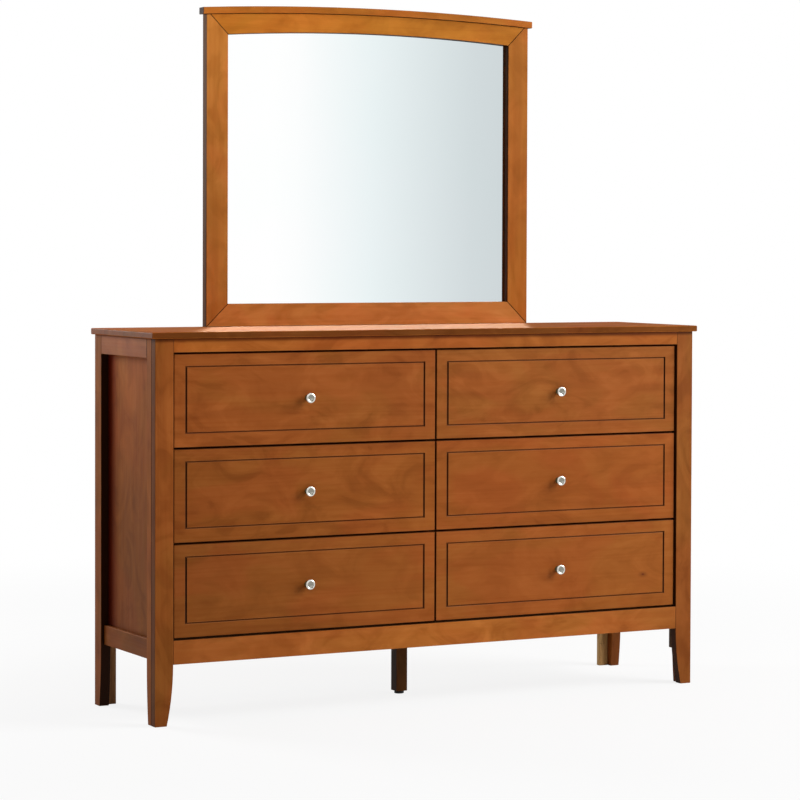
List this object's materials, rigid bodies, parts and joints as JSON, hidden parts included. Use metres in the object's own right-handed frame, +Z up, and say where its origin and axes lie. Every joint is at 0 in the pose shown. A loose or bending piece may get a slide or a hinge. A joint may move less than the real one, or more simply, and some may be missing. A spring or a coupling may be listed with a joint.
{
  "type": "dresser with mirror",
  "caption": "Free-standing frame-and-panel dresser with drawers on wooden runners, tapered legs, round knobs and an arched mirror held by uprights at the back.",
  "frame": {"origin": "on the floor, under the middle of the whole object's bounding box", "axes": "+X to the object's right as seen from the front, +Y to the back, +Z up; drawers open to -Y"},
  "size_m": [1.5, 0.4, 1.7089],
  "materials": {
    "stained_wood": "orange-brown cherry stain under a satin clear coat",
    "plain_wood": "lightly stained plain wood, matt",
    "thin_panel": "thin plywood, matt",
    "mirror_glass": "silvered flat glass",
    "knob_metal": "satin nickel plate",
    "black_plastic": "black moulded foot"
  },
  "bodies": {
    "case": {"back_bottom_rail": "plain_wood", "back_panel": "thin_panel", "back_stile_left": "plain_wood", "back_stile_right": "plain_wood", "back_top_rail": "plain_wood", "bottom_cleats": "plain_wood", "centre_leg": "stained_wood", "centre_leg_foot": "black_plastic", "centre_partition": "plain_wood", "centre_stretcher": "plain_wood", "corner_blocks": "plain_wood", "drawer_runners": "plain_wood", "front_bottom_rail": "stained_wood", "front_stile_left": "stained_wood", "front_stile_right": "stained_wood", "front_top_rail": "stained_wood", "mirror_back_board": "thin_panel", "mirror_bottom_rail": "stained_wood", "mirror_cap": "stained_wood", "mirror_glass": "mirror_glass", "mirror_stile_left": "stained_wood", "mirror_stile_right": "stained_wood", "mirror_support_left": "plain_wood", "mirror_support_right": "plain_wood", "mirror_top_rail": "stained_wood", "side_bottom_rail_left": "stained_wood", "side_bottom_rail_right": "stained_wood", "side_panel_left": "stained_wood", "side_panel_right": "stained_wood", "side_stile_back_left": "stained_wood", "side_stile_back_right": "stained_wood", "side_stile_front_left": "stained_wood", "side_stile_front_right": "stained_wood", "side_top_rail_left": "stained_wood", "side_top_rail_right": "stained_wood", "top_board": "stained_wood"},
    "drawer_bottom_left": {"drawer_bottom_left_front": "stained_wood", "drawer_bottom_left_box": "plain_wood", "drawer_bottom_left_bottom": "thin_panel", "drawer_bottom_left_knob": "knob_metal"},
    "drawer_bottom_right": {"drawer_bottom_right_front": "stained_wood", "drawer_bottom_right_box": "plain_wood", "drawer_bottom_right_bottom": "thin_panel", "drawer_bottom_right_knob": "knob_metal"},
    "drawer_middle_left": {"drawer_middle_left_front": "stained_wood", "drawer_middle_left_box": "plain_wood", "drawer_middle_left_bottom": "thin_panel", "drawer_middle_left_knob": "knob_metal"},
    "drawer_middle_right": {"drawer_middle_right_front": "stained_wood", "drawer_middle_right_box": "plain_wood", "drawer_middle_right_bottom": "thin_panel", "drawer_middle_right_knob": "knob_metal"},
    "drawer_top_left": {"drawer_top_left_front": "stained_wood", "drawer_top_left_box": "plain_wood", "drawer_top_left_bottom": "thin_panel", "drawer_top_left_knob": "knob_metal"},
    "drawer_top_right": {"drawer_top_right_front": "stained_wood", "drawer_top_right_box": "plain_wood", "drawer_top_right_bottom": "thin_panel", "drawer_top_right_knob": "knob_metal"}
  },
  "joints": [
    {"name": "drawer_bottom_left_slide", "type": "slide", "parent": "case", "child": "drawer_bottom_left", "axis": [0, -1, 0], "range_m": [0, 0.25]},
    {"name": "drawer_bottom_right_slide", "type": "slide", "parent": "case", "child": "drawer_bottom_right", "axis": [0, -1, 0], "range_m": [0, 0.25]},
    {"name": "drawer_middle_left_slide", "type": "slide", "parent": "case", "child": "drawer_middle_left", "axis": [0, -1, 0], "range_m": [0, 0.25]},
    {"name": "drawer_middle_right_slide", "type": "slide", "parent": "case", "child": "drawer_middle_right", "axis": [0, -1, 0], "range_m": [0, 0.25]},
    {"name": "drawer_top_left_slide", "type": "slide", "parent": "case", "child": "drawer_top_left", "axis": [0, -1, 0], "range_m": [0, 0.25]},
    {"name": "drawer_top_right_slide", "type": "slide", "parent": "case", "child": "drawer_top_right", "axis": [0, -1, 0], "range_m": [0, 0.25]}
  ]
}
